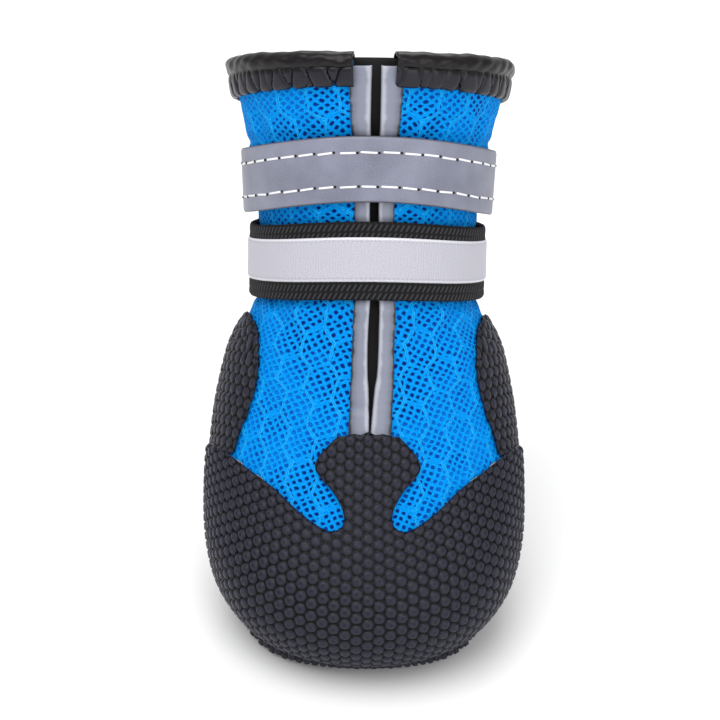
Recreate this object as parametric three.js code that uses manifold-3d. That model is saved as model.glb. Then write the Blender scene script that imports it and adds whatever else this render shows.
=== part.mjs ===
// Dog boot: a soft mesh sock boot with a split front, a rugged toe cap and heel counter,
// a moulded tread sole and two fastening straps round the ankle.
// Millimetres, +Z up, toe towards -Y. The origin is on the ground under the ball of the paw.
import * as THREE from "three";
import { mergeVertices } from "three/addons/utils/BufferGeometryUtils.js";
import Module from "manifold-3d";

const wasm = await Module();
wasm.setup();

// ---- driving dimensions ------------------------------------------------------------------
const BALL_FROM_HEEL = 47; // the origin's distance in front of the heel's back edge
const GAP = 0.3; // clearance between pieces that touch

const WALL = 2.0; // air-mesh upper with its lining
const CAP = { inner: GAP, outer: 1.6 }; // toe cap, measured out from the upper's face
const COUNTER = { inner: GAP, outer: 1.25 }; // heel counter
// Folded reflective tape and the knit behind the split; below is how many sections short of the
// collar they end, and tuck is how far the knit runs down under the toe cap.
const EDGING = { inner: -WALL + 0.4, outer: 0.5, half: 5.2, slit: 0.9, below: 0.05 };
const GUSSET = { outer: -WALL - GAP, inner: -WALL - GAP - 0.8, half: 9.5, below: 0.12, tuck: 5 };

const SOLE = { tread: 1.7, plate: 1.4, lip: -0.9 }; // lip: how far it stands out from the upper
const UPPER_FOOT = SOLE.tread + SOLE.plate + GAP; // the upper's foot above the tread's underside
const LUGS = { deep: 1.3, gap: 2.4, pitch: 8.4, tooth: 4.2, rail: 9.5 }; // rail: the lengthwise gaps' x
const TOE_SPRING = { from: 58, rise: 4.6, end: 76.5 }; // forward of the heel
const HEEL_RISE = { from: 9, rise: 1.4 };
const ARCH = { from: 24, to: 36, rise: 0.8 };
const INSOLE = { thickness: 2.0, inset: 4.2 };

const BINDING = { outside: 5.6, inside: 4.6, thickness: 1.1, endHalf: 5.9 };
// The straps' lower edges and the sections they lean towards, as sections of the last; stand is
// how far a strap springs off the shaft at its sides.
const LOWER_STRAP = {
  front: 9.76, back: 9.6, side: -0.3, top: 11.14, stand: 0,
  width: 17.4, thickness: 1.3, lift: 1.0,
};
const UPPER_STRAP = {
  front: 11.34, back: 11.42, side: -0.17, top: 12.65, stand: 1.6,
  width: 14.4, thickness: 1.2, lift: 1.0,
};
const OVERLAP = { start: 148, length: 58, ramp: 22 }; // degrees round from the toe, at the back

// The plane in which the cap and the counter's front edges are laid out leans back this much.
const FACE_TILT = THREE.MathUtils.degToRad(30);
const FACE_FOOT = 76; // the face plane's height is counted from the ground this far from the heel

const SPLIT_FOOT = 52.8; // height of the split's lower end
const AROUND = 48; // faces round the last
const LEVELS = 18; // faces up the last, the same for every piece so that their facets match

// ---- the last: a row for each section, from the ground up to the collar --------------------
// back and front are where the section's plane meets the centre line, as a distance forward
// of the heel and a height; half is the half width, widest where it lies as a share of the
// section from the back, and squareFront and squareBack fill out the corners of its outline.
const COLUMNS = [
  "backReach", "backZ", "frontReach", "frontZ", "half", "widest", "squareFront", "squareBack",
];
const SECTIONS = [
  [4.0, 1.0, 72.5, 5.0, 27.0, 0.56, 0.1, 0.1],
  [0.5, 5.5, 77.0, 9.0, 30.3, 0.56, 0.13, 0.1],
  [-1.5, 12.0, 79.5, 15.5, 33.2, 0.56, 0.17, 0.12],
  [-2.3, 20.0, 78.2, 23.0, 34.7, 0.54, 0.18, 0.15],
  [-2.0, 28.0, 72.6, 30.8, 34.9, 0.52, 0.17, 0.16],
  [-1.0, 36.0, 64.5, 38.2, 34.6, 0.5, 0.15, 0.16],
  [0.2, 43.5, 56.5, 47.0, 33.5, 0.49, 0.1, 0.14],
  [0.8, 49.5, 50.0, 58.0, 31.8, 0.48, 0.06, 0.12],
  [0.8, 54.5, 46.0, 67.5, 31.0, 0.48, 0.04, 0.1],
  [0.2, 58.8, 43.7, 75.2, 25.5, 0.48, 0.03, 0.09],
  [-1.0, 63.6, 41.8, 82.0, 24.2, 0.48, 0.02, 0.08],
  [-5.0, 74.6, 38.6, 95.6, 24.4, 0.48, 0.02, 0.08],
  [-10.0, 86.8, 35.4, 110.8, 25.0, 0.48, 0.02, 0.08],
  [-12.2, 93.0, 34.4, 117.0, 27.6, 0.48, 0.02, 0.08],
  [-14.3, 99.4, 33.5, 123.6, 28.1, 0.48, 0.02, 0.08],
  [-16.5, 105.8, 32.4, 130.5, 29.7, 0.48, 0.02, 0.08],
].map((row) => Object.fromEntries(COLUMNS.map((name, i) => [name, row[i]])));
const TOP = SECTIONS.length - 1; // the collar's section

// One value of the table, smooth between its rows.
function column(name, v) {
  const i = Math.min(Math.max(Math.floor(v), 0), TOP - 1);
  const t = v - i;
  const at = (k) => SECTIONS[k][name];
  const p1 = at(i);
  const p2 = at(i + 1);
  const p0 = i > 0 ? at(i - 1) : 2 * p1 - p2;
  const p3 = i < TOP - 1 ? at(i + 2) : 2 * p2 - p1;
  const curve = (2 * p0 - 5 * p1 + 4 * p2 - p3) * t * t + (-p0 + 3 * p1 - 3 * p2 + p3) * t ** 3;
  return 0.5 * (2 * p1 + (-p0 + p2) * t + curve);
}

// A point of the upper's outer face: v counts sections, angle goes round from the toe.
function facePoint(v, angle) {
  const back = new THREE.Vector2(column("backReach", v), column("backZ", v));
  const front = new THREE.Vector2(column("frontReach", v), column("frontZ", v));
  const widest = column("widest", v);
  const c = Math.cos(angle);
  const share = widest + (c >= 0 ? 1 - widest : widest) * c;
  const square = column(c >= 0 ? "squareFront" : "squareBack", v);
  const x = column("half", v) * Math.sin(angle) * (1 + square * c * c);
  const p = back.lerp(front, share);
  return new THREE.Vector3(x, BALL_FROM_HEEL - p.x, p.y);
}

// The same point moved out along the surface's own normal.
function offsetPoint(v, angle, offset) {
  const h = 0.02;
  const along = facePoint(v + h, angle).sub(facePoint(v - h, angle));
  const round = facePoint(v, angle + h).sub(facePoint(v, angle - h));
  const normal = round.cross(along).normalize();
  return facePoint(v, angle).addScaledVector(normal, offset);
}

// ---- solids --------------------------------------------------------------------------------
function solid(geometry) {
  const bare = geometry.clone();
  bare.deleteAttribute("normal");
  bare.deleteAttribute("uv");
  const merged = mergeVertices(bare, 1e-4);
  const made = new wasm.Manifold(
    new wasm.Mesh({
      numProp: 3,
      vertProperties: new Float32Array(merged.attributes.position.array),
      triVerts: new Uint32Array(merged.index.array),
    }),
  );
  if (made.volume() < 0) throw new Error("a solid is inside out");
  return made;
}

function geometryOf(manifold) {
  const mesh = manifold.getMesh();
  return new THREE.BufferGeometry()
    .setAttribute("position", new THREE.BufferAttribute(mesh.vertProperties, 3))
    .setIndex(new THREE.BufferAttribute(mesh.triVerts, 1));
}

// Joins rings of points, each as long as the last, into a skin. Ends are closed by a fan
// unless the rings themselves run round to the first again.
function ringSolid(rings, { loop = false, openRing = false } = {}) {
  const n = rings[0].length;
  const points = rings.flat();
  const faces = [];
  const last = loop ? rings.length : rings.length - 1;
  for (let i = 0; i < last; i += 1) {
    const a = i * n;
    const b = ((i + 1) % rings.length) * n;
    for (let j = 0; j < n; j += 1) {
      const k = (j + 1) % n;
      faces.push(a + j, a + k, b + k, a + j, b + k, b + j);
    }
  }
  if (!loop) {
    const ends = [[rings[0], 0, true], [rings.at(-1), (rings.length - 1) * n, false]];
    for (const [ring, start, flip] of ends) {
      if (openRing) {
        // a section's own polygon, which may be concave, is closed by its triangulation
        capPolygon(ring).forEach(([p, q, r]) =>
          faces.push(start + p, start + (flip ? r : q), start + (flip ? q : r)),
        );
        continue;
      }
      const middle = ring.reduce((sum, p) => sum.add(p), new THREE.Vector3()).divideScalar(n);
      const centre = points.push(middle) - 1;
      for (let j = 0; j < n; j += 1) {
        const k = (j + 1) % n;
        faces.push(centre, start + (flip ? k : j), start + (flip ? j : k));
      }
    }
  }
  return solidOrFlipped(new THREE.BufferGeometry().setFromPoints(points).setIndex(faces));
}

// Triangulates a flat ring of 3-D points in its own plane.
function capPolygon(ring) {
  const u = ring[1].clone().sub(ring[0]).normalize();
  const normal = new THREE.Vector3();
  ring.forEach((p, i) => normal.add(p.clone().cross(ring[(i + 1) % ring.length])));
  normal.normalize();
  const w = normal.clone().cross(u);
  const flat = ring.map((p) => new THREE.Vector2(p.dot(u), p.dot(w)));
  return THREE.ShapeUtils.triangulateShape(flat, []);
}

function solidOrFlipped(geometry) {
  try {
    return solid(geometry);
  } catch (error) {
    if (!String(error).includes("inside out")) throw error;
    const index = geometry.index.array;
    for (let i = 0; i < index.length; i += 3) {
      [index[i + 1], index[i + 2]] = [index[i + 2], index[i + 1]];
    }
    return solid(geometry);
  }
}

const ringAngles = Array.from({ length: AROUND }, (_, i) => (i / AROUND) * 2 * Math.PI);
const levels = Array.from({ length: LEVELS + 1 }, (_, i) => (TOP * i) / LEVELS);
const ring = (v, offset) => ringAngles.map((a) => offsetPoint(v, a, offset));

// A hollow sleeve of the last between two distances from the upper's face.
function sleeve(from, to, inner, outer) {
  const up = [from, ...levels.filter((v) => v > from && v < to), to];
  return ringSolid(
    [...up.map((v) => ring(v, outer)), ...[...up].reverse().map((v) => ring(v, inner))],
    { loop: true },
  );
}

// A prism on an outline drawn in a plane given by its origin and its two directions.
function prism(shape, origin, right, up, from, to) {
  const out = right.clone().cross(up);
  const geometry = new THREE.ExtrudeGeometry(shape, {
    depth: to - from,
    bevelEnabled: false,
    curveSegments: 10,
  });
  geometry.translate(0, 0, from);
  geometry.applyMatrix4(new THREE.Matrix4().makeBasis(right, up, out).setPosition(origin));
  return solidOrFlipped(geometry);
}
const X = new THREE.Vector3(1, 0, 0);
const Z = new THREE.Vector3(0, 0, 1);
const FORWARD = new THREE.Vector3(0, -1, 0);

// Outlines seen from the front, square on to the sloping instep.
function facePrism(shape, from = -80, to = 80) {
  const up = new THREE.Vector3(0, Math.sin(FACE_TILT), Math.cos(FACE_TILT));
  return prism(shape, new THREE.Vector3(0, BALL_FROM_HEEL - FACE_FOOT, 0), X, up, from, to);
}
// Outlines seen from the side, as distance forward of the heel and height.
const sidePrism = (shape, half = 60) =>
  prism(shape, new THREE.Vector3(0, BALL_FROM_HEEL, 0), FORWARD, Z, -half, half);
// Outlines seen from straight in front.
const frontPrism = (shape, to = 80) => prism(shape, new THREE.Vector3(), X, Z, -10, to);

const polygon = (points) => new THREE.Shape(points.map(([a, b]) => new THREE.Vector2(a, b)));

// ---- the sole's underside, as a height for each distance forward of the heel --------------
function treadHeight(reach) {
  if (reach > TOE_SPRING.from) {
    const t = (reach - TOE_SPRING.from) / (TOE_SPRING.end - TOE_SPRING.from);
    return TOE_SPRING.rise * t * t;
  }
  if (reach < HEEL_RISE.from) return HEEL_RISE.rise * ((HEEL_RISE.from - reach) / HEEL_RISE.from) ** 2;
  if (reach > ARCH.from && reach < ARCH.to) {
    const t = (reach - ARCH.from) / (ARCH.to - ARCH.from);
    return ARCH.rise * Math.sin(Math.PI * t) ** 2;
  }
  return 0;
}

// Everything under a height above the tread, for trimming what stands on the sole.
function below(height) {
  const outline = [[-30, -20]];
  for (let reach = -30; reach <= 95; reach += 3) outline.push([reach, treadHeight(reach) + height]);
  outline.push([95, -20]);
  return sidePrism(polygon(outline));
}

// A slab on the sole's curve, cut to the section at v and widened by offset.
function soleSlab(v, offset, bottom, top) {
  const rings = [-1, 1].map((side) =>
    ringAngles.map((a) => {
      const p = offsetPoint(v, a, 0);
      const out = new THREE.Vector3(Math.sin(a), -Math.cos(a), 0);
      p.addScaledVector(out, offset);
      p.z = side * 30;
      return p;
    }),
  );
  return ringSolid(rings).intersect(below(top)).subtract(below(bottom));
}

// ---- outlines of the overlays, in the face plane: x and the distance up the plane ----------
const CAP_TOP = 56.6; // where the split ends
const CAP_EDGE = [
  [5.4, 56.2],
  [8.4, 54.6],
  [10.9, 51.6],
  [11.8, 48.7],
  [8.8, 45.6],
  [6.8, 42.1],
  [6.0, 38.4],
  [8.2, 35.4],
  [11.3, 36.0],
  [15.3, 38.4],
  [19.3, 42.0],
  [22.6, 45.8],
  [26.8, 49.3],
  [33.0, 50.5],
  [44.0, 50.0],
];
const COUNTER_EDGE = [
  [33.0, 88.0],
  [28.8, 82.8],
  [25.7, 79.2],
  [24.2, 73.5],
  [24.1, 69.0],
  [25.7, 63.3],
  [27.8, 57.6],
  [31.0, 50.5],
  [36.0, 42.0],
];
function smooth(rows, side = 1) {
  const line = new THREE.SplineCurve(rows.map(([x, up]) => new THREE.Vector2(x * side, up)));
  return line.getPoints(3 * rows.length);
}
const FAR = 60; // well outside the boot, for closing outlines

// The toe cap from its keyhole tab at the split to its tips at the sides.
function capOutline(grow = 0) {
  const edge = smooth(CAP_EDGE).map((p) => p.add(new THREE.Vector2(0, grow)));
  const tip = edge.at(-1).y;
  const right = [new THREE.Vector2(FAR, -FAR), new THREE.Vector2(FAR, tip), ...edge.reverse()];
  const left = [...right].reverse().map((p) => new THREE.Vector2(-p.x, p.y));
  return new THREE.Shape([...right, new THREE.Vector2(0, CAP_TOP + grow), ...left]);
}
// The cap's back edge at the sides, seen from the side.
function capSide(grow = 0) {
  const s = new THREE.Shape();
  s.moveTo(110, -20);
  s.lineTo(110, 80);
  s.lineTo(38 - grow, 80);
  s.lineTo(36.5 - grow, 34);
  s.quadraticCurveTo(29 - grow, 20, 27 - grow, -20);
  return s;
}
// What lies behind the counter's front edge on one side, in the face plane.
function counterFront(side) {
  const edge = smooth(COUNTER_EDGE, side);
  const [top, foot] = [edge[0].y, edge.at(-1).y];
  return new THREE.Shape([
    ...edge, new THREE.Vector2(side * FAR, foot), new THREE.Vector2(side * FAR, top),
  ]);
}
// The counter seen from the side: its top edge dips to the back of the heel.
function counterSide() {
  const s = new THREE.Shape();
  s.moveTo(-30, -20);
  s.lineTo(55, -20);
  s.lineTo(55, 70);
  s.lineTo(26, 66);
  s.quadraticCurveTo(12, 56, -30, 50);
  return s;
}

// ---- pieces --------------------------------------------------------------------------------
function makeOutsole() {
  const tread = soleSlab(0.35, SOLE.lip, 0, SOLE.tread);
  const plate = soleSlab(0.5, SOLE.lip, SOLE.tread - 0.4, SOLE.tread + SOLE.plate);
  const half = LUGS.gap / 2;
  const zigzag = [[-40, 1], [-13, -0.5], [0, 0.5], [13, -0.5], [40, 1]];
  const chevron = (mid) => zigzag.map(([x, share]) => [x, mid + share * LUGS.tooth]);
  const fromBelow = (shape) => prism(shape, new THREE.Vector3(), X, new THREE.Vector3(0, 1, 0), -5, 20);
  const gaps = [-1, 1].map((side) => {
    const x = side * LUGS.rail;
    return fromBelow(polygon([[x - half, -60], [x + half, -60], [x + half, 60], [x - half, 60]]));
  });
  for (let i = -4; i < 4; i += 1) {
    const mid = (i + 0.5) * LUGS.pitch;
    gaps.push(fromBelow(polygon([...chevron(mid - half), ...chevron(mid + half).reverse()])));
  }
  return tread.add(plate).subtract(wasm.Manifold.union(gaps).intersect(below(LUGS.deep)));
}

function makeInsole() {
  return soleSlab(0.5, -INSOLE.inset, UPPER_FOOT, UPPER_FOOT + INSOLE.thickness);
}

// The split from the cap's tab to above the collar, as wide as asked either side of x.
function splitPrism(inner, outer, bottomZ = SPLIT_FOOT) {
  return frontPrism(
    polygon([[inner, bottomZ], [outer, bottomZ], [outer, 150], [inner, 150]]),
  );
}

function makeUpper() {
  return sleeve(0, TOP, -WALL, 0)
    .subtract(below(UPPER_FOOT))
    .subtract(splitPrism(-EDGING.half - GAP, EDGING.half + GAP));
}

function makeEdging(side) {
  const [a, b] = [side * EDGING.slit, side * EDGING.half].sort((p, q) => p - q);
  return sleeve(levels[5], TOP - EDGING.below, EDGING.inner, EDGING.outer).intersect(
    splitPrism(a, b, SPLIT_FOOT + GAP),
  );
}

function makeGusset() {
  return sleeve(levels[5], TOP - GUSSET.below, GUSSET.inner, GUSSET.outer).intersect(
    splitPrism(-GUSSET.half, GUSSET.half, SPLIT_FOOT - GUSSET.tuck),
  );
}

function makeToeCap() {
  return sleeve(0, levels[10], CAP.inner, CAP.outer)
    .subtract(below(UPPER_FOOT))
    .intersect(facePrism(capOutline()))
    .intersect(sidePrism(capSide()));
}

function makeHeelCounter() {
  const behindCap = sidePrism(capSide(GAP));
  const front = facePrism(counterFront(1)).add(facePrism(counterFront(-1)));
  const back = sidePrism(polygon([[-30, -20], [37, -20], [36, 30], [22, 48], [22, 80], [-30, 80]]));
  return sleeve(0, levels[12], COUNTER.inner, COUNTER.outer)
    .subtract(below(UPPER_FOOT))
    .intersect(sidePrism(counterSide()))
    .intersect(front.add(back))
    .subtract(behindCap.intersect(facePrism(capOutline(GAP))));
}

// A folded tape over the collar's edge, from one side of the split round to the other.
function makeBinding() {
  const t = BINDING.thickness;
  const inner = -WALL - GAP;
  const profile = [
    [GAP, -BINDING.outside],
    [GAP + t, -BINDING.outside],
    [GAP + t, t + GAP],
    [inner - t, t + GAP],
    [inner - t, -BINDING.inside],
    [inner, -BINDING.inside],
    [inner, GAP],
    [GAP, GAP],
  ];
  const half = column("half", TOP);
  const from = Math.asin(BINDING.endHalf / half);
  const count = AROUND;
  const rings = Array.from({ length: count + 1 }, (_, i) => {
    const a = from + ((2 * Math.PI - 2 * from) * i) / count;
    const rowLength = facePoint(TOP, a).distanceTo(facePoint(TOP - 1, a));
    return profile.map(([offset, along]) => offsetPoint(TOP + along / rowLength, a, offset));
  });
  return ringSolid(rings, { openRing: true });
}

// A strap wound once round the shaft and over its own start at the back. It lies along the
// shaft's own flare, from its lower edge's section, which drops a little at the sides and may
// stand off there.
function makeStrap({ front, back, side, stand, top, width, thickness, lift }) {
  const lap = THREE.MathUtils.degToRad(OVERLAP.length);
  const ramp = THREE.MathUtils.degToRad(OVERLAP.ramp);
  const start = THREE.MathUtils.degToRad(OVERLAP.start);
  const count = Math.round(AROUND * 1.2);
  const whole = 2 * Math.PI + lap;
  const rings = Array.from({ length: count + 1 }, (_, i) => {
    const a = start + (whole * i) / count;
    const climb = THREE.MathUtils.smoothstep(a, start + 2 * Math.PI - ramp, start + 2 * Math.PI);
    const base = lift + climb * (thickness + GAP);
    const behind = ((1 - Math.cos(a)) / 2) ** 2;
    const v = front + (back - front) * behind + side * Math.sin(a) ** 2;
    const off = stand * Math.sin(a) ** 2;
    const up = offsetPoint(top, a, 0).sub(offsetPoint(v, a, off)).setLength(width);
    const low = offsetPoint(v, a, base + off);
    const lowOut = offsetPoint(v, a, base + off + thickness);
    return [low, lowOut, lowOut.clone().add(up), low.clone().add(up)];
  });
  return ringSolid(rings, { openRing: true });
}

// ---- the assembly --------------------------------------------------------------------------
const boot = new THREE.Group();
boot.name = "dog_boot";
function addPiece(name, manifold, color, roughness) {
  const mesh = new THREE.Mesh(
    geometryOf(manifold),
    new THREE.MeshStandardMaterial({ color, roughness, metalness: 0 }),
  );
  mesh.name = name;
  boot.add(mesh);
}

addPiece("outsole", makeOutsole(), 0x1d1d20, 0.75);
addPiece("insole", makeInsole(), 0x2a2a2e, 0.95);
addPiece("upper", makeUpper(), 0x0a93f5, 0.85);
addPiece("split_gusset", makeGusset(), 0x101012, 0.9);
addPiece("split_edging_left", makeEdging(-1), 0xa4a4ae, 0.45);
addPiece("split_edging_right", makeEdging(1), 0xa4a4ae, 0.45);
addPiece("toe_cap", makeToeCap(), 0x26262b, 0.6);
addPiece("heel_counter", makeHeelCounter(), 0x26262b, 0.65);
addPiece("collar_binding", makeBinding(), 0x1c1a1e, 0.6);
addPiece("lower_strap", makeStrap(LOWER_STRAP), 0x1a1a1c, 0.85);
addPiece("upper_strap", makeStrap(UPPER_STRAP), 0x8b8b94, 0.5);

export default boot;
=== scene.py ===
import math

import bmesh
import bpy
import numpy as np
from mathutils import Matrix, Quaternion, Vector


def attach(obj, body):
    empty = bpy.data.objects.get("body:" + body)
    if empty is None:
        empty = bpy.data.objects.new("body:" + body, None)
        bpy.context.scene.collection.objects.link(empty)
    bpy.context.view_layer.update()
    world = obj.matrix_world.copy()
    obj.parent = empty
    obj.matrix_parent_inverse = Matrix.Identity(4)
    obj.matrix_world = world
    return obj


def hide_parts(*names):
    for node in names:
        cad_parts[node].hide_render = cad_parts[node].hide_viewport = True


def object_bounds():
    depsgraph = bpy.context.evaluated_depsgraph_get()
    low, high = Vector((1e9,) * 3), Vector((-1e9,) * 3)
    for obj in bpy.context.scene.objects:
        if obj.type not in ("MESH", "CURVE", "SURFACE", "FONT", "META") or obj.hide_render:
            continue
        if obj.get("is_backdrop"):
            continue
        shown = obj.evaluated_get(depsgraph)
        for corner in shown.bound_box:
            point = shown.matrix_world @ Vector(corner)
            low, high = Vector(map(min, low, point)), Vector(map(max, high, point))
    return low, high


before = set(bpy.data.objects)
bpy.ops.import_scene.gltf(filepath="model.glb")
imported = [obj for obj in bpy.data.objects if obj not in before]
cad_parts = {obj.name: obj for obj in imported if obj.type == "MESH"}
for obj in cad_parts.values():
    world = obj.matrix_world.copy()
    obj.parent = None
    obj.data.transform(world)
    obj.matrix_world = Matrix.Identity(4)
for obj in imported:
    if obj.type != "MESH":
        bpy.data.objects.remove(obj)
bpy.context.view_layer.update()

# A soft boot for a dog's paw, left or right: an air-mesh sock with a split front, a bumped toe
# cap and heel counter, folded reflective tapes along the split, a gathered collar binding, a
# moulded sole and two fastening straps.  Lengths below are millimetres; the toe points to -Y.

MM = 0.001
BALL_FROM_HEEL = 47.0

WALL = 2.0  # air mesh with its lining
BUMP_PITCH = 2.6  # the rugged panels' round bumps, centre to centre
BUMP_HEIGHT, COUNTER_BUMP_HEIGHT = 0.7, 0.52
CAP_FACE = 0.9  # the panels' valleys, out from the upper
COUNTER_FACE = 0.75
PANEL_WALL = 0.62
HOLE_PITCH = (1.5, 1.3)  # the mesh's openings, along and across its courses
HEXAGON = 7.4  # the mesh's hexagons, centre to centre
SOLE_TOP = 3.4  # the upper's foot above the tread's underside
LOWER_STRAP = {"front": 9.76, "back": 9.6, "side": -0.3, "stand": 0.0, "taper": 0.06,
               "top": 11.14, "width": 17.4, "wall": 1.15, "lift": 1.05}
UPPER_STRAP = {"front": 11.34, "back": 11.42, "side": -0.17, "stand": 1.6, "taper": 0.0,
               "top": 12.65, "width": 14.4, "wall": 0.9, "lift": 1.1}
STRIPE_FROM, STRIPE_WIDTH = 4.25, 9.8  # from the webbing's lower edge
STITCH_ROWS = (3.5, 10.9)  # from the upper strap's lower edge
STITCH_PITCH, STITCH_LONG, THREAD = 4.2, 3.4, 0.5
STRAP_START, STRAP_LAP, STRAP_RAMP = 148.0, 58.0, 22.0  # degrees round from the toe
STRAP_LONG = 188.0  # both straps' patterns are spaced for this nominal length
BINDING_LONG = 178.0  # the binding's nominal length round the collar
GATHERS = 78
GUSSET_WIDTH, GUSSET_BEHIND = 18.6, 2.4
PAD_INSET, PAD_TOP = 4.4, 5.4  # the insole's edge inside the last, and its face above the tread
TOE_SPRING = {"from": 58, "long": 18.5, "rise": 4.6}  # reaches forward of the heel
HEEL_RISE = {"from": 9, "rise": 1.4}
ARCH = {"from": 24, "long": 12, "rise": 0.8}

# ---- the last -----------------------------------------------------------------------------
# A row for each section, from the ground to the collar: where its plane meets the centre line
# at the back and at the front, its half width, how far forward it is widest, and how square
# the outline's front and back corners are.
BACK_REACH, BACK_Z, FRONT_REACH, FRONT_Z, HALF, WIDEST, SQUARE_FRONT, SQUARE_BACK = range(8)
SECTIONS = np.array([
    [4.0, 1.0, 72.5, 5.0, 27.0, 0.56, 0.10, 0.10],
    [0.5, 5.5, 77.0, 9.0, 30.3, 0.56, 0.13, 0.10],
    [-1.5, 12.0, 79.5, 15.5, 33.2, 0.56, 0.17, 0.12],
    [-2.3, 20.0, 78.2, 23.0, 34.7, 0.54, 0.18, 0.15],
    [-2.0, 28.0, 72.6, 30.8, 34.9, 0.52, 0.17, 0.16],
    [-1.0, 36.0, 64.5, 38.2, 34.6, 0.50, 0.15, 0.16],
    [0.2, 43.5, 56.5, 47.0, 33.5, 0.49, 0.10, 0.14],
    [0.8, 49.5, 50.0, 58.0, 31.8, 0.48, 0.06, 0.12],
    [0.8, 54.5, 46.0, 67.5, 31.0, 0.48, 0.04, 0.10],
    [0.2, 58.8, 43.7, 75.2, 25.5, 0.48, 0.03, 0.09],
    [-1.0, 63.6, 41.8, 82.0, 24.2, 0.48, 0.02, 0.08],
    [-5.0, 74.6, 38.6, 95.6, 24.4, 0.48, 0.02, 0.08],
    [-10.0, 86.8, 35.4, 110.8, 25.0, 0.48, 0.02, 0.08],
    [-12.2, 93.0, 34.4, 117.0, 27.6, 0.48, 0.02, 0.08],
    [-14.3, 99.4, 33.5, 123.6, 28.1, 0.48, 0.02, 0.08],
    [-16.5, 105.8, 32.4, 130.5, 29.7, 0.48, 0.02, 0.08],
])
TOP = len(SECTIONS) - 1


def sections(v):
    """The table's row at each v, smooth between its rows."""
    ends = 2 * SECTIONS[0] - SECTIONS[1], 2 * SECTIONS[-1] - SECTIONS[-2]
    table = np.vstack([ends[0], SECTIONS, ends[1]])
    i = np.clip(np.floor(v).astype(int), 0, TOP - 1)
    t = (v - i)[:, None]
    p0, p1, p2, p3 = (table[i + k] for k in range(4))
    return 0.5 * (2 * p1 + (p2 - p0) * t + (2 * p0 - 5 * p1 + 4 * p2 - p3) * t**2
                  + (3 * p1 - p0 - 3 * p2 + p3) * t**3)


def last(v, angle):
    """Points on the upper's outer face: v counts sections, angle goes round from the toe."""
    row = sections(v)
    c, s = np.cos(angle), np.sin(angle)
    share = row[:, WIDEST] + np.where(c >= 0, 1 - row[:, WIDEST], row[:, WIDEST]) * c
    square = np.where(c >= 0, row[:, SQUARE_FRONT], row[:, SQUARE_BACK])
    reach = row[:, BACK_REACH] + share * (row[:, FRONT_REACH] - row[:, BACK_REACH])
    z = row[:, BACK_Z] + share * (row[:, FRONT_Z] - row[:, BACK_Z])
    return np.stack([row[:, HALF] * s * (1 + square * c * c), BALL_FROM_HEEL - reach, z], 1)


def normals(v, angle):
    h = 0.02
    n = np.cross(last(v, angle + h) - last(v, angle - h), last(v + h, angle) - last(v - h, angle))
    return n / np.linalg.norm(n, axis=1, keepdims=True)


def smooth(x, low, high):
    t = np.clip((x - low) / (high - low), 0, 1)
    return t * t * (3 - 2 * t)


# Soft folds of the mesh: where each lies (degrees round from the toe, section), which way it
# runs (0 is round the boot, 90 is up it), its length, half width and depth.
FOLDS = [
    # round  sec   run  long  half  deep
    (26.0, 8.9, 62.0, 13.0, 1.7, 0.55),
    (-24.0, 8.8, 118.0, 12.0, 1.6, 0.50),
    (47.0, 9.1, 48.0, 11.0, 1.8, 0.60),
    (-50.0, 9.05, 130.0, 12.0, 1.9, 0.60),
    (70.0, 9.15, 20.0, 14.0, 2.0, 0.55),
    (-74.0, 9.1, 162.0, 13.0, 2.0, 0.55),
    (33.0, 7.2, 28.0, 15.0, 2.6, -0.45),
    (-35.0, 7.1, 150.0, 15.0, 2.6, -0.45),
    (20.0, 5.9, 55.0, 11.0, 2.2, 0.40),
    (-21.0, 5.8, 125.0, 11.0, 2.2, 0.40),
    (112.0, 9.1, 10.0, 20.0, 2.4, 0.60),
    (-116.0, 9.0, 172.0, 20.0, 2.4, 0.60),
    (165.0, 9.0, 2.0, 26.0, 2.6, 0.70),
    (30.0, 13.0, 75.0, 9.0, 1.6, 0.50),
    (-33.0, 13.1, 105.0, 9.0, 1.6, 0.45),
    (58.0, 13.2, 80.0, 10.0, 2.0, 0.65),
    (-61.0, 13.3, 98.0, 10.0, 2.0, 0.60),
    (88.0, 13.5, 86.0, 10.0, 2.2, 0.65),
    (-94.0, 13.4, 92.0, 10.0, 2.2, 0.60),
    (125.0, 13.5, 95.0, 10.0, 2.4, 0.65),
    (-133.0, 13.4, 85.0, 10.0, 2.4, 0.65),
]
ROUND_MM, RISE_MM = 27.0, 7.6  # a radian round and a section up, roughly, in millimetres


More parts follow.
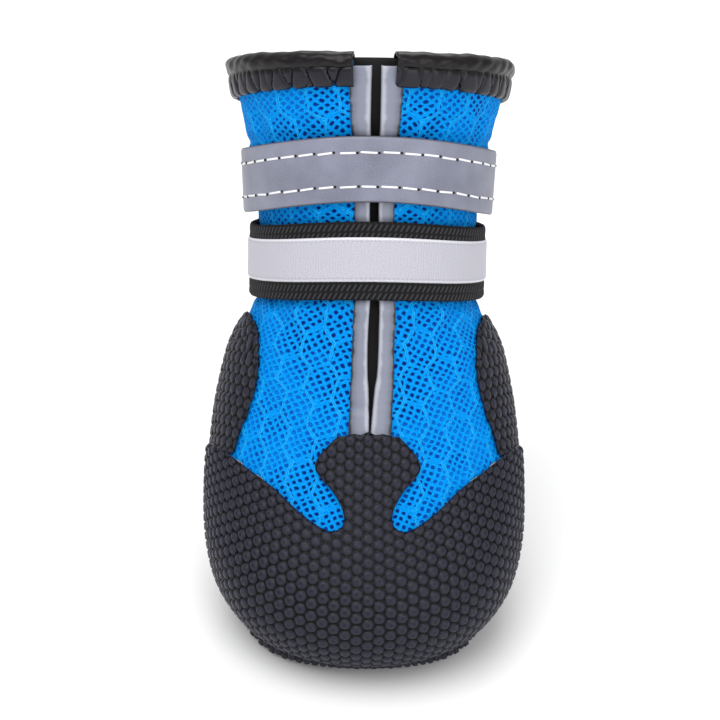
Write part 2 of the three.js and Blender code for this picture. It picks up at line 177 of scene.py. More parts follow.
def folds(v, angle):
    """How far the cloth stands off the last: drawn in under the straps, full between them."""
    above = v - 9.7 + 0.3 * np.sin(angle) ** 2  # above the lower strap's lower edge
    # drawn in under each strap, then full between and below them, at the collar's front and
    # sides, and drawn in behind the counter's wings
    drop = -0.6 * smooth(above, -0.05, 0.2) * (1 - smooth(v, 10.85, 11.05))
    drop -= ((0.45 - 1.6 * np.sin(angle) ** 2)
             * smooth(v, 11.3, 11.45) * (1 - smooth(v, 12.4, 12.65)))
    drop += (0.35 * np.exp(-(((v - 11.15) / 0.12) ** 2))
             + 0.75 * np.exp(-(((above + 0.42) / 0.36) ** 2)))
    drop += 0.3 * np.cos(angle) ** 2 * np.exp(-(((v - 13.2) / 0.45) ** 2))
    drop += np.sin(angle) ** 2 * smooth(v, 13.1, 14.2) * (1 - 0.4 * smooth(v, 14.3, 15.0))
    drop -= 1.8 * smooth(np.abs(np.sin(angle)), 0.6, 0.95) * np.exp(-(((v - 8.0) / 0.65) ** 2))
    for round_at, section, run, long, half, deep in FOLDS:
        across = (angle - math.radians(round_at) + math.pi) % (2 * math.pi) - math.pi
        x, y = across * ROUND_MM, (v - section) * RISE_MM
        c, s = math.cos(math.radians(run)), math.sin(math.radians(run))
        along, aside = x * c + y * s, y * c - x * s
        drop -= deep * np.exp(-((along / long * 2) ** 2) - (aside / half) ** 2)
        drop += 0.4 * deep * np.exp(-((along / long * 2) ** 2) - ((aside - 2 * half) / half) ** 2)
    return drop


SKIRT = 0.2  # below this section a panel hangs straight down past the sole's edge


def hang(v):
    """How far, in millimetres, a panel hangs below the last's skirt line."""
    return 6.0 * np.clip(SKIRT - v, 0, None)[:, None] * (0, 0, 1)


def skin(v, angle, out):
    held = np.maximum(v, SKIRT)
    return last(held, angle) + normals(held, angle) * (out + folds(held, angle))[:, None] - hang(v)


def tread(reach):
    """The sole's underside: toe spring, low arch and the heel's slight rise."""
    ahead = np.clip(reach - TOE_SPRING["from"], 0, None) / TOE_SPRING["long"]
    behind = np.clip(HEEL_RISE["from"] - reach, 0, None) / HEEL_RISE["from"]
    under = np.clip((reach - ARCH["from"]) / ARCH["long"], 0, 1)
    return (TOE_SPRING["rise"] * ahead**2 + HEEL_RISE["rise"] * behind**2
            + ARCH["rise"] * np.sin(math.pi * under) ** 2)


def foot(angle, stand=SOLE_TOP):
    """The section that is stand millimetres above the sole's underside, for each angle."""
    low, high = np.full_like(angle, -1.0), np.full_like(angle, 2.5)
    for _ in range(24):
        middle = (low + high) / 2
        p = last(np.maximum(middle, SKIRT), angle) - hang(middle)
        under = p[:, 2] < tread(BALL_FROM_HEEL - p[:, 1]) + stand
        low, high = np.where(under, middle, low), np.where(under, high, middle)
    return high


# ---- making pieces ------------------------------------------------------------------------
def linear(code):
    """A hex colour as the linear values that shaders take."""
    values = [int(code[i:i + 2], 16) / 255 for i in (1, 3, 5)]
    return tuple(c / 12.92 if c <= 0.04045 else ((c + 0.055) / 1.055) ** 2.4
                 for c in values) + (1.0,)


def sheet(columns, rows):
    """A flat sheet of quads, and where each of its points lies on it, 0 to 1 each way."""
    bm = bmesh.new()
    bmesh.ops.create_grid(bm, x_segments=columns, y_segments=rows, size=0.5)
    return bm, np.array([p.co[:2] for p in bm.verts]) + 0.5


def place(bm, points, cloth=None):
    """Moves the sheet's points to their places, and keeps its flat pattern in the UV map."""
    for vert, p in zip(bm.verts, points * MM):
        vert.co = p
    if cloth is not None:
        layer = bm.loops.layers.uv.new("cloth")
        bm.verts.index_update()
        for face in bm.faces:
            for loop in face.loops:
                loop[layer].uv = cloth[loop.vert.index]


def piece(name, bm, materials, node=None, wall=None, rim=0, lining=0):
    """Finishes a piece: wall gives the sheet its thickness, inwards, and closes it."""
    mesh = bpy.data.meshes.new(name)
    bm.to_mesh(mesh)
    bm.free()
    for material in materials:
        mesh.materials.append(material)
    mesh.polygons.foreach_set("use_smooth", [True] * len(mesh.polygons))
    obj = bpy.data.objects.new(name, mesh)
    bpy.context.scene.collection.objects.link(obj)
    if wall:
        solid = obj.modifiers.new("wall", "SOLIDIFY")
        solid.thickness = wall * MM
        solid.offset = -1
        solid.material_offset_rim = rim
        solid.material_offset = lining
    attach(obj, "root")
    if node:
        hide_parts(*node)
    return obj


def flatten(points, rounds=400):
    """Lays a curved patch of cloth flat, keeping the lengths of its threads as near as it can."""
    rows, columns = points.shape[:2]
    middle = columns // 2
    step = np.linalg.norm(np.diff(points, axis=1), axis=2)
    x = np.concatenate([np.zeros((rows, 1)), np.cumsum(step, 1)], 1)
    x -= x[:, middle:middle + 1]
    up = np.linalg.norm(np.diff(points[:, middle], axis=0), axis=1)
    y = np.repeat(np.concatenate([[0], np.cumsum(up)])[:, None], columns, 1)
    flat = np.stack([x, y], 2)
    links = []
    for di, dj in ((0, 1), (1, 0), (1, 1), (1, -1)):
        j0, j1 = max(0, -dj), columns - max(0, dj)
        a = (slice(0, rows - di), slice(j0, j1))
        b = (slice(di, rows), slice(j0 + dj, j1 + dj))
        links.append((a, b, np.linalg.norm(points[a] - points[b], axis=2)))
    for _ in range(rounds):
        move, count = np.zeros_like(flat), np.zeros((rows, columns, 1))
        for a, b, length in links:
            d = flat[b] - flat[a]
            now = np.linalg.norm(d, axis=2)
            pull = d * (0.5 * (now - length) / np.maximum(now, 1e-9))[:, :, None]
            move[a] += pull
            move[b] -= pull
            count[a] += 1
            count[b] += 1
        flat += 1.6 * move / count
    return flat


def between(table, s, t):
    """A table's value at s across and t up, 0 to 1 each way."""
    rows, columns = table.shape[:2]
    x, y = s * (columns - 1), t * (rows - 1)
    i, j = np.clip(y.astype(int), 0, rows - 2), np.clip(x.astype(int), 0, columns - 2)
    fy, fx = (y - i)[:, None], (x - j)[:, None]
    low = table[i, j] * (1 - fx) + table[i, j + 1] * fx
    high = table[i + 1, j] * (1 - fx) + table[i + 1, j + 1] * fx
    return low * (1 - fy) + high * fy


def curve(points, steps=8, closed=False):
    """A smooth line through a few points."""
    p = np.array(points, float)
    if closed:
        p = np.vstack([p[-1], p, p[:2]])
    else:
        p = np.vstack([2 * p[0] - p[1], p, 2 * p[-1] - p[-2]])
    t = np.linspace(0, 1, steps, endpoint=False)[:, None]
    line = [0.5 * (2 * b + (c - a) * t + (2 * a - 5 * b + 4 * c - d) * t**2
                   + (3 * b - a - 3 * c + d) * t**3) for a, b, c, d in zip(p, p[1:], p[2:], p[3:])]
    return np.vstack(line + ([] if closed else [p[-2:-1]]))


def nearest(points, outline):
    """The nearest point of a closed outline to each point, and how far off it is."""
    along = np.roll(outline, -1, 0) - outline
    found, off = [], []
    for part in np.array_split(points, len(points) // 2000 + 1):
        t = np.clip(((part[:, None] - outline) * along).sum(2) / ((along**2).sum(1) + 1e-12), 0, 1)
        q = outline + along * t[:, :, None]
        d = np.linalg.norm(part[:, None] - q, axis=2)
        k = d.argmin(1)
        found.append(q[np.arange(len(part)), k])
        off.append(d[np.arange(len(part)), k])
    return np.vstack(found), np.concatenate(off)


def inside(points, outline):
    nxt = np.roll(outline, -1, 0)
    x, y = points[:, :1], points[:, 1:]
    crosses = (outline[:, 1] > y) != (nxt[:, 1] > y)
    at = outline[:, 0] + (y - outline[:, 1]) * (nxt[:, 0] - outline[:, 0]) / (
        nxt[:, 1] - outline[:, 1] + 1e-12)
    return (crosses & (x < at)).sum(1) % 2 == 1


def from_middle(cloth, pitch):
    """Where each point lies from the nearest middle of cells packed in offset columns."""
    cell = np.array([pitch * math.sqrt(3), pitch])
    near, there = (q - np.round(q / cell) * cell for q in (cloth, cloth - 0.5 * cell))
    closer = (np.linalg.norm(there, axis=1) < np.linalg.norm(near, axis=1))[:, None]
    return np.where(closer, there, near)


def bumps(cloth, pitch):
    """Height, 0 to 1, of flat-topped round bumps packed in offset columns, faintly dished."""
    d = np.linalg.norm(from_middle(cloth, pitch), axis=1) / (0.5 * pitch)
    return np.clip(1 - (d / 0.93) ** 5, 0, None) - 0.2 * np.exp(-((d / 0.4) ** 2))


def pillows(cloth):
    """Depth, 0 to 1, of the mesh's open six-sided cells between their closed borders."""
    c, w = math.cos(MESH_LEAN), math.sin(MESH_LEAN)
    q = from_middle(cloth @ np.array([[c, w], [-w, c]]), HEXAGON)
    ways = np.radians([30, 90, 150])
    out_to = np.abs(q @ np.array([np.cos(ways), np.sin(ways)])).max(1)
    return smooth(HEXAGON / 2 - out_to, 0.35, 1.6)


def rugged_panel(name, node, angles, high, outline, face, grain, height, stand=SOLE_TOP,
                 flare=0.0, rim=0):
    """A bumped panel cut to its outline and laid on the upper, angles and sections."""
    span = math.radians(angles[1] - angles[0])

    def where(s, t):
        angle = math.radians(angles[0]) + span * s
        low = foot(angle, stand)
        return low + (high - low) * t, angle

    cs, ct = np.meshgrid(np.linspace(0, 1, 61), np.linspace(0, 1, 41))
    v, angle = where(cs.ravel(), ct.ravel())
    pattern = flatten(skin(v, angle, face).reshape(41, 61, 3))
    columns, rows = grain
    bm, flat = sheet(columns, rows)
    v, angle = where(flat[:, 0], flat[:, 1])
    paper = np.stack([angle * ROUND_MM, v * RISE_MM], 1)
    line = np.array(outline) * (math.radians(1) * ROUND_MM, RISE_MM)
    bm.faces.index_update()
    bm.verts.index_update()
    corners = np.array([[p.index for p in f.verts] for f in bm.faces])
    gone = ~inside(paper[corners].mean(1), line)
    bmesh.ops.delete(bm, geom=[f for f, out in zip(list(bm.faces), gone) if out], context="FACES")
    flat = np.array([p.co[:2] for p in bm.verts]) + 0.5
    edge = np.array([p.is_boundary for p in bm.verts]) & (flat[:, 1] > 1e-4)
    v, angle = where(flat[:, 0], flat[:, 1])
    paper = np.stack([angle * ROUND_MM, v * RISE_MM], 1)
    snapped, off = nearest(paper, line)
    paper[edge] = snapped[edge]
    angle, v = paper[:, 0] / ROUND_MM, paper[:, 1] / RISE_MM
    s = (angle - math.radians(angles[0])) / span
    low = foot(angle, stand)
    v = np.maximum(v, low)
    t = (v - low) / (high - low)
    cloth = between(pattern, np.clip(s, 0, 1), np.clip(t, 0, 1))
    relief = height * bumps(cloth, BUMP_PITCH) * smooth(np.where(edge, 0, off), 0.0, 0.5)
    lifted = flare * smooth(np.abs(angle), math.radians(55), math.radians(84))
    place(bm, skin(v, angle, face + relief + lifted), cloth)
    for face_there in bm.faces:
        if any(flat[p.index, 1] < 1e-4 for p in face_there.verts):
            face_there.material_index = 2  # sealed to the sole, so no pale edge shows
    return piece(name, bm, [rugged, cut_edge, rugged], [node], PANEL_WALL, rim=rim)


# ---- materials ----------------------------------------------------------------------------
MATH, VECTOR, MIX = "ShaderNodeMath", "ShaderNodeVectorMath", "ShaderNodeMix"
NOISE, RAMP, RANGE = "ShaderNodeTexNoise", "ShaderNodeValToRGB", "ShaderNodeMapRange"
BUMP, SPLIT_XYZ = "ShaderNodeBump", "ShaderNodeSeparateXYZ"
EASED = {"interpolation_type": "SMOOTHSTEP"}

RIB_ROW, RIB_PITCH, RIB_SLANT = 1.9, 1.15, 0.9  # the webbing's rows of ribs, and their slant
MESH_LEAN = math.radians(27)
HOLE_HALF = (0.38, 0.34)  # half an opening's width and height
DARK_PATCH = 9  # size of the patches where the openings look darker
DARK_HALF = (9, 23)  # openings are darkest nearer the middle than this, and palest past this
# A noise on the cloth's own pattern has its scale in parts a millimetre.
COURSES = (math.radians(-50), math.radians(56))  # the ways across the two families of courses
HOLE_CELL = (HOLE_PITCH[0] / 2, HOLE_PITCH[1] / 2, 1)
HOLE_BACK = (-HOLE_PITCH[0] / 2, -HOLE_PITCH[1] / 2, -1)


def material(name):
    made = bpy.data.materials.new(name)
    made.use_nodes = True
    tree = made.node_tree
    return made, tree, tree.nodes["Principled BSDF"]


def add(tree, kind, settings=(), *values, **links):
    """Adds a node, sets it and feeds its inputs, in order or by name, from sockets or plain values.

    settings is a dictionary or just the operation; its "stops" are a ramp's places and colours.
    """
    node = tree.nodes.new(kind)
    if isinstance(settings, str):
        settings = {"operation": settings}
    for key, value in dict(settings).items():
        if key != "stops":
            setattr(node, key, value)
            continue
        elements = node.color_ramp.elements
        while len(elements) < len(value):
            elements.new(0.5)
        for element, (at, code) in zip(elements, value):
            element.position = at
            element.color = linear(code)
    inputs = {f"i{k}": value for k, value in enumerate(values)} | links
    for key, value in inputs.items():
        by_number = key[0] == "i" and key[1:].isdigit()
        socket = node.inputs[int(key[1:]) if by_number else key.replace("_", " ")]
        if isinstance(value, bpy.types.NodeSocket):
            tree.links.new(value, socket)
        else:
            socket.default_value = value
    return node


def packed_cells(tree, cloth_at, pitch):
    """The nodes of from_middle: a point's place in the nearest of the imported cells."""
    cell = (pitch * math.sqrt(3) / 2, pitch / 2, 1)
    back = tuple(-c for c in cell)
    near = add(tree, VECTOR, "WRAP", i0=cloth_at, i1=cell, i2=back).outputs[0]
    aside = add(tree, VECTOR, "ADD", i0=cloth_at, i1=cell[:2] + (0,)).outputs[0]
    there = add(tree, VECTOR, "WRAP", i0=aside, i1=cell, i2=back).outputs[0]
    far = [add(tree, VECTOR, "LENGTH", i0=q).outputs["Value"] for q in (near, there)]
    closer = add(tree, MATH, "LESS_THAN", far[1], far[0]).outputs[0]
    return add(tree, MIX, {"data_type": "VECTOR"}, i0=closer, i4=near, i5=there).outputs[1]


# Coated cloth: a knitted backing with a rubbery polyurethane skin pressed into round bumps.
# Charcoal, a low broad gloss on each bump, palest part way out on each bump and a little darker
# in its dished middle, with painted shade: near black in the valleys between the bumps.  The
# roughness varies with a fine grain.
rugged, tree, shader = material("coated_bump_cloth")
place_at = add(tree, "ShaderNodeTexCoord").outputs["Object"]
cloth_at = add(tree, "ShaderNodeUVMap", {"uv_map": "cloth"}).outputs[0]
local = packed_cells(tree, cloth_at, BUMP_PITCH)
from_top = add(tree, VECTOR, "LENGTH", i0=local).outputs["Value"]  # mm
grain = add(tree, NOISE, Vector=place_at, Scale=1 / (0.35 * MM), Detail=3.0).outputs[0]
# painted shade: past each bump's edge the colour falls to near black, standing in for the shade in
# the valleys
bump_tone_and_painted_valley_shade = add(tree, RAMP,
           {"stops": ((0.0, "#1b1b24"), (0.4, "#2b2b38"), (0.66, "#22222d"), (0.74, "#060609"),
                      (0.9, "#010102"))},
           add(tree, MATH, "DIVIDE", from_top, 0.62 * BUMP_PITCH).outputs[0]).outputs["Color"]
tree.links.new(bump_tone_and_painted_valley_shade, shader.inputs["Base Color"])
rough = add(tree, RANGE, Value=grain, From_Min=0.3, From_Max=0.7, To_Min=0.34, To_Max=0.46)
tree.links.new(rough.outputs[0], shader.inputs["Roughness"])
pits = add(tree, BUMP, Strength=0.3, Distance=0.05 * MM, Height=grain)
tree.links.new(pits.outputs[0], shader.inputs["Normal"])
shader.inputs["Specular IOR Level"].default_value = 0.17

# The panels' raw cut edge, where the pale knitted backing shows.
cut_edge, tree, shader = material("cut_cloth_edge")
place_at = add(tree, "ShaderNodeTexCoord").outputs["Object"]
fibres = add(tree, NOISE, Vector=place_at, Scale=1 / (0.25 * MM), Detail=2.0).outputs[0]
tree.links.new(add(tree, RAMP, {"stops": ((0.35, "#8a8684"), (0.7, "#bdb9b6"))},
                   fibres).outputs["Color"], shader.inputs["Base Color"])
shader.inputs["Roughness"].default_value = 0.85

# Air mesh: two knitted polyester faces held apart by a pile.  The outer face has small square
# openings in slanted courses, and double ridges of thread that mark out hexagons.  The openings
# are coloured dark navy: the pile and inner face seen through them, with painted shade for the
# depth of each opening.
air_mesh, tree, shader = material("knitted_air_mesh")
cloth_at = add(tree, "ShaderNodeUVMap", {"uv_map": "cloth"}).outputs[0]
wander = add(tree, NOISE, Vector=cloth_at, Scale=0.22, Detail=1.0).outputs["Color"]
wander = add(tree, VECTOR, "MULTIPLY_ADD", i0=wander, i1=(1.5, 1.5, 0), i2=cloth_at).outputs[0]
turned = add(tree, "ShaderNodeVectorRotate", {"rotation_type": "Z_AXIS"}, Vector=wander,
             Angle=MESH_LEAN).outputs[0]
local = packed_cells(tree, turned, HEXAGON)
outward = []
for degrees in (30, 90, 150):
    way = (math.cos(math.radians(degrees)), math.sin(math.radians(degrees)), 0)
    dot = add(tree, VECTOR, "DOT_PRODUCT", i0=local, i1=way).outputs["Value"]
    outward.append(add(tree, MATH, "ABSOLUTE", dot).outputs[0])
slanted = add(tree, MATH, "MAXIMUM", outward[0], outward[2]).outputs[0]
# how far out in its six-sided cell, in mm
out_to = add(tree, MATH, "MAXIMUM", slanted, outward[1]).outputs[0]
band = add(tree, RANGE, EASED, Value=out_to, From_Min=HEXAGON / 2 - 0.5,
           From_Max=HEXAGON / 2 - 0.25).outputs[0]
over = [add(tree, VECTOR, "DOT_PRODUCT", i0=wander,
            i1=(math.cos(way), math.sin(way), 0)).outputs["Value"] for way in COURSES]
courses = add(tree, "ShaderNodeCombineXYZ", i0=over[0], i1=over[1]).outputs[0]
course = add(tree, VECTOR, "WRAP", i0=courses, i1=HOLE_CELL, i2=HOLE_BACK).outputs[0]
shape = add(tree, VECTOR, "ABSOLUTE", i0=course).outputs[0]
shape = add(tree, VECTOR, "MULTIPLY", i0=shape,
            i1=(1 / HOLE_HALF[0], 1 / HOLE_HALF[1], 0)).outputs[0]
from_hole = add(tree, VECTOR, "LENGTH", i0=shape).outputs["Value"]
sides = add(tree, SPLIT_XYZ, i0=shape)
from_hole = add(tree, MATH, "ADD", from_hole,
                add(tree, MATH, "MAXIMUM", sides.outputs[0],
                    sides.outputs[1]).outputs[0]).outputs[0]
uneven = add(tree, NOISE, Vector=cloth_at, Scale=0.9, Detail=1.0).outputs[0]
from_hole = add(tree, MATH, "ADD", from_hole,
                add(tree, MATH, "MULTIPLY", add(tree, MATH, "SUBTRACT", uneven, 0.5).outputs[0],
                    2.4).outputs[0]).outputs[0]
opening = add(tree, RANGE, EASED, Value=from_hole, From_Min=2.7, From_Max=1.4).outputs[0]
opening = add(tree, MATH, "MULTIPLY", opening,
              add(tree, MATH, "SUBTRACT", 1.0, band).outputs[0]).outputs[0]
# painted highlight: pale cyan lines along the hexagons' slanted sides, where the raised ridges
# catch the light
line_at = add(tree, MATH, "ABSOLUTE",
              add(tree, MATH, "SUBTRACT", slanted, HEXAGON / 2 - 0.24).outputs[0]).outputs[0]
lines = add(tree, RANGE, EASED, Value=line_at, From_Min=0.16, From_Max=0.05).outputs[0]
dashes = add(tree, NOISE, Vector=cloth_at, Scale=1.3, Detail=1.0).outputs[0]
lines = add(tree, MATH, "MULTIPLY", lines,
            add(tree, RANGE, Value=dashes, From_Min=0.38, From_Max=0.55).outputs[0]).outputs[0]
fuzz = add(tree, NOISE, Vector=cloth_at, Scale=2.2, Detail=3.0).outputs[0]
ground = add(tree, RAMP, {"stops": ((0.3, "#0078d0"), (0.5, "#0089de"), (0.75, "#0c9ded"))},
             fuzz).outputs["Color"]
faint = add(tree, MATH, "MULTIPLY", lines, 0.55).outputs[0]
# the painted highlight mixed into the ground colour
threads = add(tree, MIX, {"data_type": "RGBA"}, i0=faint, i6=ground,
              i7=linear("#35c4ff")).outputs[2]
place_at = add(tree, "ShaderNodeTexCoord").outputs["Object"]
aside = add(tree, MATH, "ABSOLUTE", add(tree, SPLIT_XYZ, i0=place_at).outputs[0]).outputs[0]
patch = add(tree, NOISE, Vector=place_at, Scale=1 / (DARK_PATCH * MM), Detail=1.0).outputs[0]
patch = add(tree, MATH, "MULTIPLY", add(tree, MATH, "SUBTRACT", patch, 0.5).outputs[0],
            50 * MM).outputs[0]
behind = add(tree, RANGE, Value=add(tree, MATH, "ADD", aside, patch).outputs[0],
             From_Min=DARK_HALF[0] * MM, From_Max=DARK_HALF[1] * MM).outputs[0]
# painted shade: the openings' dark navy stands in for the shade down in each opening, darkest near
# the middle line and paler to the sides
deep = add(tree, RAMP, {"stops": ((0.0, "#06206e"), (0.5, "#0548a8"), (1.0, "#066cd2"))},
           behind).outputs["Color"]
colour = add(tree, MIX, {"data_type": "RGBA"}, i0=opening, i6=threads, i7=deep).outputs[2]
tree.links.new(colour, shader.inputs["Base Color"])
height = add(tree, MATH, "SUBTRACT", add(tree, MATH, "MULTIPLY", band, 0.3).outputs[0],
             opening).outputs[0]
height = add(tree, MATH, "ADD", height,
             add(tree, MATH, "MULTIPLY", lines, 0.25).outputs[0]).outputs[0]
relief = add(tree, BUMP, Strength=1.0, Distance=0.3 * MM, Height=height)
tree.links.new(relief.outputs[0], shader.inputs["Normal"])
shader.inputs["Roughness"].default_value = 0.8
shader.inputs["Specular IOR Level"].default_value = 0.05

# Brushed polyester tricot, the lining and the insole's cover: a short raised nap that hides the
# weave, near black and without any gloss.
lining, tree, shader = material("brushed_lining")
place_at = add(tree, "ShaderNodeTexCoord").outputs["Object"]
nap = add(tree, NOISE, Vector=place_at, Scale=1 / (0.5 * MM), Detail=4.0).outputs[0]
tree.links.new(add(tree, RAMP, {"stops": ((0.3, "#15161a"), (0.7, "#2a2b31"))},
                   nap).outputs["Color"], shader.inputs["Base Color"])
shader.inputs["Roughness"].default_value = 0.95

# Folded nylon and elastane binding, satin woven: charcoal, with a soft shine along the roll and
# painted shade, a near-black line, in the crease where the flap below is sewn.
binding_tape, tree, shader = material("satin_binding")
across = add(tree, SPLIT_XYZ,
             i0=add(tree, "ShaderNodeUVMap", {"uv_map": "cloth"}).outputs[0]).outputs[1]
# flap, crease in painted shade, roll
shade = add(tree, RAMP, {"stops": ((0.3, "#1c1c24"), (0.35, "#050406"), (0.41, "#0d080c"))},
            add(tree, MATH, "DIVIDE", across, 10.0).outputs[0]).outputs["Color"]
tree.links.new(shade, shader.inputs["Base Color"])
shader.inputs["Roughness"].default_value = 0.34
shader.inputs["Specular IOR Level"].default_value = 0.28

# Folded reflective cloth tape: fine glass beads give an even satin grey.  A painted highlight
# makes it palest on the fold, and painted shade darkens it towards the seam, where the thread
# pulls it in, down to a near-black line at the seam.
edge_tape, tree, shader = material("grey_reflective_tape")
cloth_at = add(tree, "ShaderNodeUVMap", {"uv_map": "cloth"}).outputs[0]
across = add(tree, SPLIT_XYZ, i0=cloth_at).outputs[0]  # 0 at the fold, 1 at the seam
soft = add(tree, NOISE, Vector=cloth_at, Scale=0.35, Detail=2.0).outputs[0]
across = add(tree, MATH, "ADD", across,
             add(tree, MATH, "MULTIPLY", add(tree, MATH, "SUBTRACT", soft, 0.5).outputs[0],
                 0.4).outputs[0]).outputs[0]
# painted highlight on the fold, painted shade towards and along the seam
painted_fold_highlight_and_seam_shade = add(tree, RAMP,
            {"stops": ((0.0, "#aeb0bb"), (0.16, "#a5a7b4"), (0.3, "#7f8392"), (0.6, "#7b7f8f"),
                       (0.86, "#666a78"), (0.97, "#1b1b20"))},
            across).outputs["Color"]
tree.links.new(painted_fold_highlight_and_seam_shade, shader.inputs["Base Color"])
shader.inputs["Roughness"].default_value = 0.42

# Flat knitted elastic: black polyester with two rows of slanted ribs in each border.  The ribs'
# crests are painted paler grey, a painted highlight where they catch the light.
webbing, tree, shader = material("black_elastic_webbing")
cloth_at = add(tree, "ShaderNodeUVMap", {"uv_map": "cloth"}).outputs[0]
parts = add(tree, SPLIT_XYZ, i0=cloth_at)
row = add(tree, MATH, "DIVIDE", parts.outputs[1], RIB_ROW).outputs[0]
in_row = add(tree, MATH, "FRACT", row).outputs[0]
turn = add(tree, MATH, "ADD", add(tree, MATH, "DIVIDE", parts.outputs[0], RIB_PITCH).outputs[0],
           add(tree, MATH, "MULTIPLY", in_row, -RIB_SLANT).outputs[0]).outputs[0]
turn = add(tree, MATH, "ADD", turn,
           add(tree, MATH, "MULTIPLY", add(tree, MATH, "FLOOR", row).outputs[0],
               0.5).outputs[0]).outputs[0]
rib = add(tree, MATH, "COSINE",
          add(tree, MATH, "MULTIPLY", turn, 2 * math.pi).outputs[0]).outputs[0]
in_border = add(tree, MATH, "ABSOLUTE",
                add(tree, MATH, "SUBTRACT", in_row, 0.5).outputs[0]).outputs[0]
in_border = add(tree, RANGE, EASED, Value=in_border, From_Min=0.48, From_Max=0.3).outputs[0]
rib = add(tree, MATH, "MULTIPLY",
          add(tree, RANGE, Value=rib, From_Min=-0.2, From_Max=0.9).outputs[0], in_border).outputs[0]
# painted highlight: paler grey on the rib crests
tree.links.new(add(tree, RAMP, {"stops": ((0.0, "#050506"), (0.45, "#151517"), (1.0, "#3a3a3f"))},
                   rib).outputs["Color"], shader.inputs["Base Color"])
relief = add(tree, BUMP, Strength=0.9, Distance=0.2 * MM, Height=rib)
tree.links.new(relief.outputs[0], shader.inputs["Normal"])
shader.inputs["Roughness"].default_value = 0.7
shader.inputs["Specular IOR Level"].default_value = 0.25

# Retroreflective tape: a silver-white coating of glass beads on a ribbed ribbon, its folded
# edges whiter and sewn down with a fine thread.
stripe, tree, shader = material("silver_reflective_stripe")
cloth_at = add(tree, "ShaderNodeUVMap", {"uv_map": "cloth"}).outputs[0]
parts = add(tree, SPLIT_XYZ, i0=cloth_at)
middle = STRIPE_FROM + STRIPE_WIDTH / 2
off = add(tree, MATH, "ABSOLUTE",
          add(tree, MATH, "SUBTRACT", parts.outputs[1], middle).outputs[0]).outputs[0]
beads = add(tree, NOISE, Vector=cloth_at, Scale=5.0, Detail=2.0).outputs[0]
ground = add(tree, RAMP, {"stops": ((0.3, "#a09fab"), (0.7, "#cac9d3"))}, beads).outputs["Color"]
fold = add(tree, RANGE, Value=off, From_Min=STRIPE_WIDTH / 2 - 0.55,
           From_Max=STRIPE_WIDTH / 2 - 0.4).outputs[0]
colour = add(tree, MIX, {"data_type": "RGBA"}, i0=fold, i6=ground, i7=linear("#dedee4")).outputs[2]
sewn = add(tree, MATH, "ABSOLUTE",
           add(tree, MATH, "SUBTRACT", off, STRIPE_WIDTH / 2 - 0.85).outputs[0]).outputs[0]
sewn = add(tree, MATH, "LESS_THAN", sewn, 0.09).outputs[0]
dash = add(tree, MATH, "LESS_THAN",
           add(tree, MATH, "FRACT",
               add(tree, MATH, "DIVIDE", parts.outputs[0], 0.95).outputs[0]).outputs[0],
           0.55).outputs[0]
sewn = add(tree, MATH, "MULTIPLY", add(tree, MATH, "MULTIPLY", sewn, dash).outputs[0],
           0.6).outputs[0]
colour = add(tree, MIX, {"data_type": "RGBA"}, i0=sewn, i6=colour, i7=linear("#8e8c9a")).outputs[2]
tree.links.new(colour, shader.inputs["Base Color"])
weave = add(tree, MATH, "COSINE",
            add(tree, MATH, "MULTIPLY", parts.outputs[0], 2 * math.pi / 0.6).outputs[0]).outputs[0]
weave = add(tree, MATH, "ADD", add(tree, MATH, "MULTIPLY", weave, 0.5).outputs[0], fold).outputs[0]
relief = add(tree, BUMP, Strength=0.8, Distance=0.08 * MM, Height=weave)
tree.links.new(relief.outputs[0], shader.inputs["Normal"])
shader.inputs["Roughness"].default_value = 0.5

# The same kind of coating on a thin grey cloth: darker, with a fine bead grain.
reflective, tree, shader = material("grey_reflective_strap")
cloth_at = add(tree, "ShaderNodeUVMap", {"uv_map": "cloth"}).outputs[0]
across = add(tree, SPLIT_XYZ, i0=cloth_at).outputs[1]
off = add(tree, MATH, "ABSOLUTE",
          add(tree, MATH, "SUBTRACT", across, UPPER_STRAP["width"] / 2).outputs[0]).outputs[0]
beads = add(tree, NOISE, Vector=cloth_at, Scale=4.0, Detail=4.0).outputs[0]
wear = add(tree, NOISE, Vector=cloth_at, Scale=0.12, Detail=2.0).outputs[0]
ground = add(tree, RAMP, {"stops": ((0.35, "#696b7b"), (0.65, "#878a9b"))},
             add(tree, MATH, "ADD", add(tree, MATH, "MULTIPLY", beads, 0.5).outputs[0],
                 add(tree, MATH, "MULTIPLY", wear, 0.5).outputs[0]).outputs[0]).outputs["Color"]
cut_side = add(tree, RANGE, Value=off, From_Min=UPPER_STRAP["width"] / 2 - 0.35,
               From_Max=UPPER_STRAP["width"] / 2 - 0.1).outputs[0]
colour = add(tree, MIX, {"data_type": "RGBA"}, i0=cut_side, i6=ground,
             i7=linear("#56565f")).outputs[2]
tree.links.new(colour, shader.inputs["Base Color"])
relief = add(tree, BUMP, Strength=0.35, Distance=0.06 * MM, Height=beads)
tree.links.new(relief.outputs[0], shader.inputs["Normal"])
shader.inputs["Roughness"].default_value = 0.45

# Twisted polyester sewing thread: white, slightly shiny.
thread, tree, shader = material("white_sewing_thread")
shader.inputs["Base Color"].default_value = linear("#efeff0")
shader.inputs["Roughness"].default_value = 0.6

# Fine elastane knit: black and matt, so the split reads as a dark slit.
stretch, tree, shader = material("black_stretch_knit")
shader.inputs["Base Color"].default_value = linear("#0e0e10")
shader.inputs["Roughness"].default_value = 0.9

